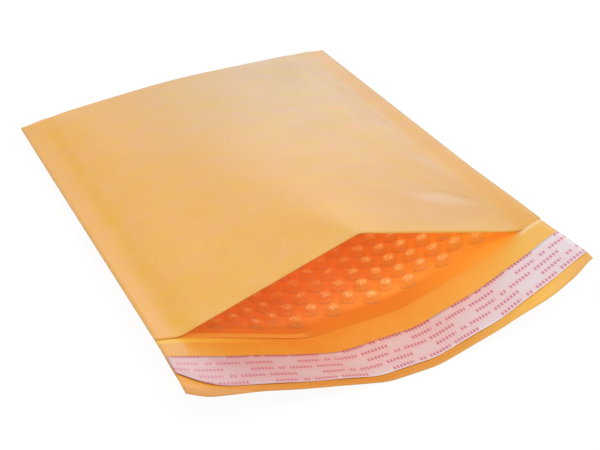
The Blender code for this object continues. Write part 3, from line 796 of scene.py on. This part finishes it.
# Painted light on the dome tops, stronger where the film is painted brighter.
lit_top = sum_up(tree, "MULTIPLY", soft_step(tree, from_centre, 0.20, 1.00, 1.0, 0.0), on_dome)
lit_top = sum_up(tree, "MULTIPLY", lit_top, soft_step(tree, brightness, 0.10, 0.75, 0.30, 1.0))
colour = blend_colours(tree, sum_up(tree, "MULTIPLY", lit_top, 0.60), colour, FILM_LIT_TOP)
ridged = tree.nodes.new("ShaderNodeTexNoise")
ridged.inputs["Scale"].default_value = 640.0
ridged.inputs["Detail"].default_value = 3.0
ridged.inputs["Distortion"].default_value = 0.6
tree.links.new(place, ridged.inputs["Vector"])
creased = sum_up(tree, "SUBTRACT", 1.0, soft_step(tree, from_line(tree, ridged.outputs["Fac"], 0.5), 0.0, 0.11))
glint = sum_up(tree, "MULTIPLY", soft_step(tree, creased, 0.35, 0.80), soft_step(tree, from_centre, 0.25, 0.85, 1.0, 0.0))
glint = sum_up(tree, "MULTIPLY", glint, on_dome)
# A patch of painted sheen, pale and pinkish, a few centimetres in from the mouth.
film_sheen_patch = soft_patch(tree, place, (-0.002, 0.043), 0, 0.034, 0.030)
colour = blend_colours(tree, sum_up(tree, "MULTIPLY", film_sheen_patch, 0.5), colour, FILM_PAINTED_SHEEN)
# Painted glints along the inner edge of the smooth margin.
glint_wisps = sum_up(tree, "MULTIPLY", soft_step(tree, from_line(tree, mouth_distance, 0.0090), 0.0003, 0.0022, 1.0, 0.0),
               soft_step(tree, patches, 0.50, 0.66))
glint = sum_up(tree, "MAXIMUM", glint, sum_up(tree, "MULTIPLY", sum_up(tree, "MULTIPLY", glint_wisps, creased), 0.6))
colour = blend_colours(tree, glint, colour, FILM_GLINT)
margin = soft_step(tree, mouth_distance, 0.0085, 0.0150, 1.0, 0.0)
margin_colour = blend_colours(tree, soft_step(tree, across, -0.030, -0.016), FILM_MARGIN_SHADED, FILM_MARGIN)
margin_colour = blend_colours(tree, soft_step(tree, across, 0.010, 0.080), margin_colour, FILM_MARGIN_SUNNY)
colour = blend_colours(tree, sum_up(tree, "MULTIPLY", margin, 0.95), colour, margin_colour)
# On the left, painted light on the lifted lip and a painted shadow just beyond it.
on_left = soft_step(tree, across, -0.030, -0.018, 1.0, 0.0)
lit_lip = sum_up(tree, "MULTIPLY", soft_step(tree, along, 0.0035, 0.0050, 1.0, 0.0), on_left)
shadow_under_lip = sum_up(tree, "MULTIPLY", soft_step(tree, from_line(tree, along, 0.0072), 0.0010, 0.0030, 1.0, 0.0), on_left)
colour = blend_colours(tree, sum_up(tree, "MULTIPLY", shadow_under_lip, 0.8), colour, FILM_FOOT_SHADE)
colour = blend_colours(tree, lit_lip, colour, FILM_LIT_LIP)
plug(tree, colour, shader.inputs["Base Color"])
# Emission: a painted glow for light through the paper, brighter under the front panel, and a painted glow on the lit
# dome tops.
overhead = soft_step(tree, along, POCKET_LENGTH - 0.004, POCKET_LENGTH + 0.004)
light_through = blend_colours(tree, overhead, DIM_GLOW, PAPER_GLOW)
plug(tree, blend_colours(tree, lit_top, light_through, DOME_GLOW), shader.inputs["Emission Color"])

facing = tree.nodes.new("ShaderNodeAttribute")
facing.attribute_name = "facing"
geometry = tree.nodes.new("ShaderNodeNewGeometry")
clear_normal = tree.nodes.new("ShaderNodeMix")
clear_normal.data_type = "VECTOR"
clear_normal.inputs["Factor"].default_value = 0.45
tree.links.new(geometry.outputs["Normal"], clear_normal.inputs[4])
tree.links.new(facing.outputs["Vector"], clear_normal.inputs[5])
plug(tree, bump(tree, sum_up(tree, "MULTIPLY", creased, on_dome), 0.00045, 1.0, clear_normal.outputs[1]), shader.inputs["Normal"])
plug(tree, sum_up(tree, "MULTIPLY_ADD", on_dome, 0.7, 0.3), shader.inputs["Coat Weight"])
wall = sum_up(tree, "MULTIPLY_ADD", foot_shade, 0.55, sum_up(tree, "MULTIPLY_ADD", lit_top, 0.48, 0.02))
wall = sum_up(tree, "MULTIPLY_ADD", glint, 0.55, wall)
on_flat = sum_up(tree, "SUBTRACT", 1.0, on_dome)
plug(tree, sum_up(tree, "MAXIMUM", wall, on_flat), shader.inputs["Alpha"])
print("bubble_film has", len(tree.nodes), "nodes")

# %% [markdown]
# The domes sit on a lattice of equal hexagons, about 11 mm apart.
#
# One dome is turned once: a short chain of edges, from its foot to its top, is spun round, and its foot is
# left open. Its height then follows the room that the two panels leave between them, so that the domes flatten
# towards the seams and the bottom fold, as trapped bubbles do.

# %% Piece: one bubble
BUBBLE_PITCH = 0.0113
BUBBLE_RADIUS = 0.0050
BUBBLE_SIDES = 12
DOME_OUTLINE = ((1.04, -0.06), (0.95, 0.24), (0.80, 0.62), (0.50, 0.90), (0.0, 1.0))


def turn_dome():
    """A dome of radius 1 and height 1, open at its foot, as a bmesh."""
    dome = bmesh.new()
    chain = [dome.verts.new((radius, 0.0, height)) for radius, height in DOME_OUTLINE]
    edges = [dome.edges.new(pair) for pair in zip(chain, chain[1:])]
    bmesh.ops.spin(
        dome, geom=chain + edges, cent=(0, 0, 0), axis=(0, 0, 1), angle=2 * math.pi,
        steps=BUBBLE_SIDES, use_merge=True, use_duplicate=False, dvec=(0, 0, 0),
    )
    bmesh.ops.remove_doubles(dome, verts=dome.verts, dist=1e-5)
    bmesh.ops.recalc_face_normals(dome, faces=dome.faces)
    if sum(face.normal.z for face in dome.faces) < 0:
        bmesh.ops.reverse_faces(dome, faces=dome.faces)
    return dome


dome = turn_dome()
dome_mesh = bpy.data.meshes.new("one_bubble")
dome.to_mesh(dome_mesh)
dome.free()
print("one bubble has", len(dome_mesh.polygons), "faces")

# %% [markdown]
# Copies of the dome are stood on the flat film, and the film is folded with them on it.
#
# Instances would be lighter, but an instance can't bend round the fold, and the export wants one piece. So
# each dome is added to the film's own bmesh, moved to its place and scaled to its height. A small seeded
# draw makes each one a little different.

# %% Piece: the bubble film
FILM_FROM_SEAM = 0.0015
FILM_FROM_MOUTH = 0.001
FIRST_BUBBLE_ACROSS = 0.0033
FIRST_BUBBLE_ALONG = 0.0141
FILM_SKEW = 0.027
BUBBLES_FROM_SEAM = 0.0125
BUBBLES_FROM_FOLD = 0.0185
LEAST_BUBBLE = 0.0006
film_half = OPEN_HALF - FILM_FROM_SEAM


def bubble_places():
    """The centres of the bubbles on one panel, from the mouth to the fold."""
    spacing = BUBBLE_PITCH * math.sqrt(3) / 2
    reach = int(OPEN_HALF / spacing)
    for number in range(-reach, reach + 1):
        across = FIRST_BUBBLE_ACROSS + number * spacing
        if abs(across) > OPEN_HALF - BUBBLES_FROM_SEAM:
            continue
        along = FIRST_BUBBLE_ALONG + (0.0 if number % 2 else BUBBLE_PITCH / 2)
        while along <= POCKET_LENGTH - BUBBLES_FROM_FOLD:
            yield across, along + FILM_SKEW * across
            along += BUBBLE_PITCH


def room_for_bubble(across, along):
    """Half of the gap that the two films leave at one place."""
    gap = read_table(front_z, np.array(across), np.array(along)) - read_table(back_z, np.array(across), np.array(along))
    return float(gap) / 2 - FILM_DEPTH - FILM_THICKNESS - 0.0002


film_sheet = cut_sheet((-film_half, film_half), (0.0, FRONT_MOUTH - FILM_FROM_MOUTH), 0.0028)
mark_sheet(film_sheet)
dome_layer = film_sheet.loops.layers.uv.new("dome")
sheet_layer = film_sheet.loops.layers.uv["sheet"]
for face in film_sheet.faces:
    for loop in face.loops:
        loop[dome_layer].uv = (FLAT_FILM, FLAT_FILM)
draw = np.random.default_rng(21)
bubble_count = 0
for across, along in bubble_places():
    height = min(BUBBLE_HEIGHT, room_for_bubble(across, along))
    for place_along in (along, FRONT_MOUTH - along):
        shift = draw.normal(0.0, 0.00022, 2)
        plump = draw.uniform(0.86, 1.04)
        if height < LEAST_BUBBLE:
            continue
        first_vert, first_face = len(film_sheet.verts), len(film_sheet.faces)
        film_sheet.from_mesh(dome_mesh)
        film_sheet.verts.ensure_lookup_table()
        film_sheet.faces.ensure_lookup_table()
        new_verts = film_sheet.verts[first_vert:]
        for face in film_sheet.faces[first_face:]:
            for loop in face.loops:
                loop[dome_layer].uv = loop.vert.co.xy
        bmesh.ops.scale(film_sheet, vec=(BUBBLE_RADIUS, BUBBLE_RADIUS, height * plump), verts=new_verts)
        bmesh.ops.translate(
            film_sheet, verts=new_verts,
            vec=(across + shift[0], place_along + shift[1], 0.0),
        )
        for face in film_sheet.faces[first_face:]:
            for loop in face.loops:
                loop[sheet_layer].uv = loop.vert.co.xy
        bubble_count += 1
print(bubble_count, "bubbles,", len(film_sheet.faces), "faces on the film")

# %% [markdown]
# The film's edge stands a little off the paper at the mouth.
#
# It was cut there and never glued down, so it curls up into a lip on the left and lies flat on the right. The
# film's material paints the lip pale, as painted light, with a painted shadow just beyond it. The lip is a small extra
# depth that fades within a few millimetres of the cut.

# %% Piece: fold the bubble film
LIP_RISE = 0.0003


def film_depth(across, along):
    """How deep the film lies under the paper's outer face."""
    near_cut = 1.0 - ease(along, 0.0, 0.009)
    on_left = ease(-across, 0.010, 0.035) * (1.0 - ease(-across, 0.062, 0.080))
    return FILM_DEPTH - 0.00022 * near_cut + LIP_RISE * near_cut * on_left


def pocket_normals(across, along):
    """The direction that the flat film faces at each place, with its bubbles left out."""
    small = 0.001
    ahead = fold(across + small, along, FILM_DEPTH) - fold(across - small, along, FILM_DEPTH)
    beside = fold(across, along + small, FILM_DEPTH) - fold(across, along - small, FILM_DEPTH)
    inwards = fold(across, along, FILM_DEPTH + small) - fold(across, along, FILM_DEPTH)
    normals = np.cross(ahead, beside)
    normals *= np.sign((normals * inwards).sum(axis=1, keepdims=True))
    return normals / np.maximum(np.linalg.norm(normals, axis=1, keepdims=True), 1e-9)


flat_places = np.array([vert.co for vert in film_sheet.verts])
facing = pocket_normals(flat_places[:, 0], flat_places[:, 1])
fold_sheet(film_sheet, film_depth)
bubble_film = make_piece("bubble_film", film_sheet, (film,))
facing_layer = bubble_film.data.attributes.new("facing", "FLOAT_VECTOR", "POINT")
facing_layer.data.foreach_set("vector", facing.ravel())
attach(bubble_film, "root")
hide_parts("bubble_lining")
bpy.data.meshes.remove(dome_mesh)

# %% [markdown]
# The flap closes with a band of glue, which a strip of release paper covers until it is used.
#
# Both are strips across the whole flap, so one helper cuts, folds and thickens them. The release paper is
# thin, pink and slightly waxy. Its left end has let go of the bent corner and turns up a little.

# %% Piece: strips on the flap
STRIP_WIDTH = 0.0245
CORNER_ACROSS = 0.021
CORNER_ALONG = 0.0095
CORNER_CURVE = 1.4
strip_middle = STRIP_FAR_EDGE + STRIP_WIDTH / 2


def lay_strip(name, width, side_inset, depth_of, thickness, material):
    """A thin strip along the flap, a little above the paper. Its outer left corner is cut off slantwise."""
    half = SHEET_WIDTH / 2 - side_inset
    near_edge = strip_middle + width / 2
    strip = cut_sheet((-half, half), (strip_middle - width / 2, near_edge), 0.0016)
    for vert in strip.verts:
        towards_corner = max(0.0, 1.0 - (vert.co.x + SHEET_WIDTH / 2) / CORNER_ACROSS)
        lost = CORNER_ALONG * towards_corner ** CORNER_CURVE * width / STRIP_WIDTH
        vert.co.y = near_edge - (near_edge - vert.co.y) * (1.0 - lost / width)
    mark_sheet(strip)
    fold_sheet(strip, depth_of)
    piece = make_piece(name, strip, (material,))
    give_thickness(piece, thickness, -1.0)
    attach(piece, "root")
    return piece


def release_depth(across, along):
    """The release paper lies on the glue, and lifts at its left end."""
    end = 1.0 - ease(across, -SHEET_WIDTH / 2, -SHEET_WIDTH / 2 + 0.020)
    corner = 1.0 - ease(along, strip_middle - STRIP_WIDTH / 2, strip_middle + STRIP_WIDTH / 4)
    wave = 0.00012 * np.sin(across * 2 * math.pi / 0.031)
    return PAPER_THICKNESS + 0.0005 + wave + end * (0.0001 + 0.0004 * corner)


def glue_depth(across, along):
    """The glue lies on the paper."""
    return np.full_like(across, PAPER_THICKNESS + 0.00022)

# %% [markdown]
# Release paper is a thin, smooth, pale pink sheet with a printed pattern of small dashes.
#
# The dashes stand in rows, in groups of several lengths with a gap between the groups, and each row is
# shifted against the next. An image would do it, but a pattern of sums stays sharp at any distance: one
# value runs along the row, and four bars are cut out of it.

# %% Material: release paper
PINK = (0.80, 0.54, 0.54, 1.0)
PINK_GREY = (0.76, 0.60, 0.61, 1.0)
PINK_SHADED = (0.84, 0.66, 0.68, 1.0)
PINK_LIT = (1.05, 1.17, 1.22, 1.0)
MAGENTA = (0.55, 0.075, 0.18, 1.0)
ROW_PITCH = 0.0054
GROUP_PITCH = 0.0555
BAR_HEIGHT = 0.0021
BARS = ((0.0, 0.0104), (0.0127, 0.0159), (0.0182, 0.0286), (0.0309, 0.0440))
release, tree, shader = new_material(
    "release_paper", 0.33, Specular_IOR_Level=0.5, Coat_Weight=0.25, Coat_Roughness=0.2
)
place, across, along = sheet_place(tree)
felt = place_group(tree, paper_fibres, Place=place, Fineness=1500.0)
row_place = sum_up(tree, "DIVIDE", sum_up(tree, "SUBTRACT", along, strip_middle - STRIP_WIDTH / 2 - 0.0008), ROW_PITCH)
row_number = sum_up(tree, "FLOOR", row_place)
up_row = sum_up(tree, "MULTIPLY", sum_up(tree, "FRACT", row_place), ROW_PITCH)
stagger = sum_up(tree, "MULTIPLY", row_number, 0.0315)
run = sum_up(tree, "ADD", sum_up(tree, "ADD", across, 1.0), stagger)
along_row = sum_up(tree, "MODULO", run, GROUP_PITCH)
ticks = sum_up(tree, "FRACT", sum_up(tree, "DIVIDE", along_row, 0.00162))
tick = soft_step(tree, from_line(tree, ticks, 0.5), 0.20, 0.40, 1.0, 0.08)
in_bar = None
for start, end in BARS:
    bar = soft_step(tree, from_line(tree, along_row, (start + end) / 2), (end - start) / 2 - 0.0001,
                    (end - start) / 2 + 0.0001, 1.0, 0.0)
    in_bar = bar if in_bar is None else sum_up(tree, "MAXIMUM", in_bar, bar)
in_row = soft_step(tree, from_line(tree, up_row, ROW_PITCH / 2), BAR_HEIGHT / 2 - 0.0001,
                   BAR_HEIGHT / 2 + 0.0001, 1.0, 0.0)
print_mask = sum_up(tree, "MULTIPLY", sum_up(tree, "MULTIPLY", in_bar, in_row), tick)
near_print = sum_up(tree, "LESS_THAN", along_row, BARS[-1][1])
ground = blend_colours(tree, sum_up(tree, "MULTIPLY", near_print, 0.8), PINK_GREY, PINK)
ground = blend_colours(tree, sum_up(tree, "MULTIPLY", felt["Clouds"], 0.25), ground, PINK_GREY)
shade = blend_colours(tree, soft_step(tree, across, -0.100, 0.0), PINK_SHADED, (1.0, 1.0, 1.0, 1.0))
shade = blend_colours(tree, soft_step(tree, across, 0.010, 0.095), shade, PINK_LIT)
ground = blend_colours(tree, 1.0, ground, shade, "MULTIPLY")
colour = blend_colours(tree, sum_up(tree, "MULTIPLY", print_mask, 0.70), ground, MAGENTA)
plug(tree, colour, shader.inputs["Base Color"])
plug(tree, bump(tree, felt["Height"], 0.00005, 0.3), shader.inputs["Normal"])

# %% [markdown]
# The glue is a clear, faintly amber layer. Only its ends could ever be seen, so its finish is short: a soft
# clouding in the colour, and a wet gloss from the shader's coat.

# %% Material: glue, and the two strips
glue, tree, shader = new_material("glue", 0.25, Specular_IOR_Level=0.5, Coat_Weight=0.8, Coat_Roughness=0.08)
place, across, along = sheet_place(tree)
smears = noise(tree, place, 380.0, 3.0, 0.6, (0.3, 1.0, 1.0))
plug(tree, blend_colours(tree, smears, (0.86, 0.60, 0.26, 1.0), (0.92, 0.74, 0.42, 1.0)), shader.inputs["Base Color"])
plug(tree, bump(tree, smears, 0.0001, 0.5), shader.inputs["Normal"])

glue_band = lay_strip("glue_band", 0.019, 0.004, glue_depth, 0.00015, glue)
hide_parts("adhesive_band")
release_paper = lay_strip("release_paper", STRIP_WIDTH, 0.0006, release_depth, 0.00016, release)
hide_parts("release_liner")
print("strips laid at", round(strip_middle * 1000, 1), "mm from the mouth")

# %% [markdown]
# The envelope lies on a white table in soft light from all sides.
#
# The table is one large plane. Its own colour keeps the faint shadow under the envelope. What the camera and
# reflections see of it is lifted to white by a little emission behind Light Path, and the same trick makes
# the world white. None of that adds light to the envelope.

# %% Floor
FLOOR_SIZE = 6.0
FLOOR_GAP = 0.0004
floor_mesh = bmesh.new()
bmesh.ops.create_grid(floor_mesh, x_segments=1, y_segments=1, size=FLOOR_SIZE / 2)
bmesh.ops.translate(floor_mesh, vec=(0, 0, -FLOOR_GAP), verts=floor_mesh.verts)
table_top, tree, shader = new_material("table_top", 0.9, Specular_IOR_Level=0.1, Base_Color=(0.86, 0.86, 0.86, 1.0))
floor_data = bpy.data.meshes.new("table_top")
floor_mesh.to_mesh(floor_data)
floor_mesh.free()
floor_data.materials.append(table_top)
floor = bpy.data.objects.new("table_top", floor_data)
bpy.context.scene.collection.objects.link(floor)


def seen_directly(tree):
    """1 for rays that come straight from the camera, or by way of gloss or glass."""
    path = tree.nodes.new("ShaderNodeLightPath")
    seen = sum_up(tree, "MAXIMUM", path.outputs["Is Camera Ray"], path.outputs["Is Glossy Ray"])
    return sum_up(tree, "MAXIMUM", seen, path.outputs["Is Transmission Ray"])


glow = tree.nodes.new("ShaderNodeEmission")
glow.inputs["Color"].default_value = (1, 1, 1, 1)
glow.inputs["Strength"].default_value = 1.06
both = tree.nodes.new("ShaderNodeMixShader")
tree.links.new(sum_up(tree, "MULTIPLY", seen_directly(tree), 0.87), both.inputs[0])
tree.links.new(shader.outputs[0], both.inputs[1])
tree.links.new(glow.outputs[0], both.inputs[2])
tree.links.new(both.outputs[0], tree.nodes["Material Output"].inputs["Surface"])

# %% [markdown]
# The light is a bright white room with two big soft boxes.
#
# The even light of the room gives every colour about as it is written. The box behind and to the right is
# low, so the satin paper mirrors it towards the camera as a pale sheen. The box above and in front models
# the bubbles and throws their highlights.

# %% Light
ROOM_LIGHT = 0.80
world = bpy.data.worlds.new("white_room")
world.use_nodes = True
bpy.context.scene.world = world
tree = world.node_tree
background = tree.nodes["Background"]
background.inputs["Color"].default_value = (1, 1, 1, 1)
seen = seen_directly(tree)
plug(tree, soft_step(tree, seen, 0.0, 1.0, ROOM_LIGHT, 1.0), background.inputs["Strength"])


def soft_box(name, azimuth, elevation, distance, size, power, aim=(0, 0, 0.02), sheen_only=False):
    """A square area light that looks at the envelope. Azimuth 0 is in front, and 90 to the right."""
    data = bpy.data.lights.new(name, "AREA")
    data.shape = "RECTANGLE"
    data.size, data.size_y = size
    data.energy = power
    lamp = bpy.data.objects.new(name, data)
    turn, rise = math.radians(azimuth), math.radians(elevation)
    way = Vector((math.sin(turn) * math.cos(rise), -math.cos(turn) * math.cos(rise), math.sin(rise)))
    lamp.location = Vector(aim) + way * distance
    lamp.rotation_euler = way.to_track_quat("Z", "Y").to_euler()
    lamp.visible_diffuse = not sheen_only
    bpy.context.scene.collection.objects.link(lamp)
    return lamp


soft_box("box_behind", 142, 20, 1.5, (1.3, 0.8), 3.6, sheen_only=True)
soft_box("box_front", 5, 52, 1.4, (0.5, 0.5), 4.4)
bpy.context.scene.view_settings.view_transform = "Standard"
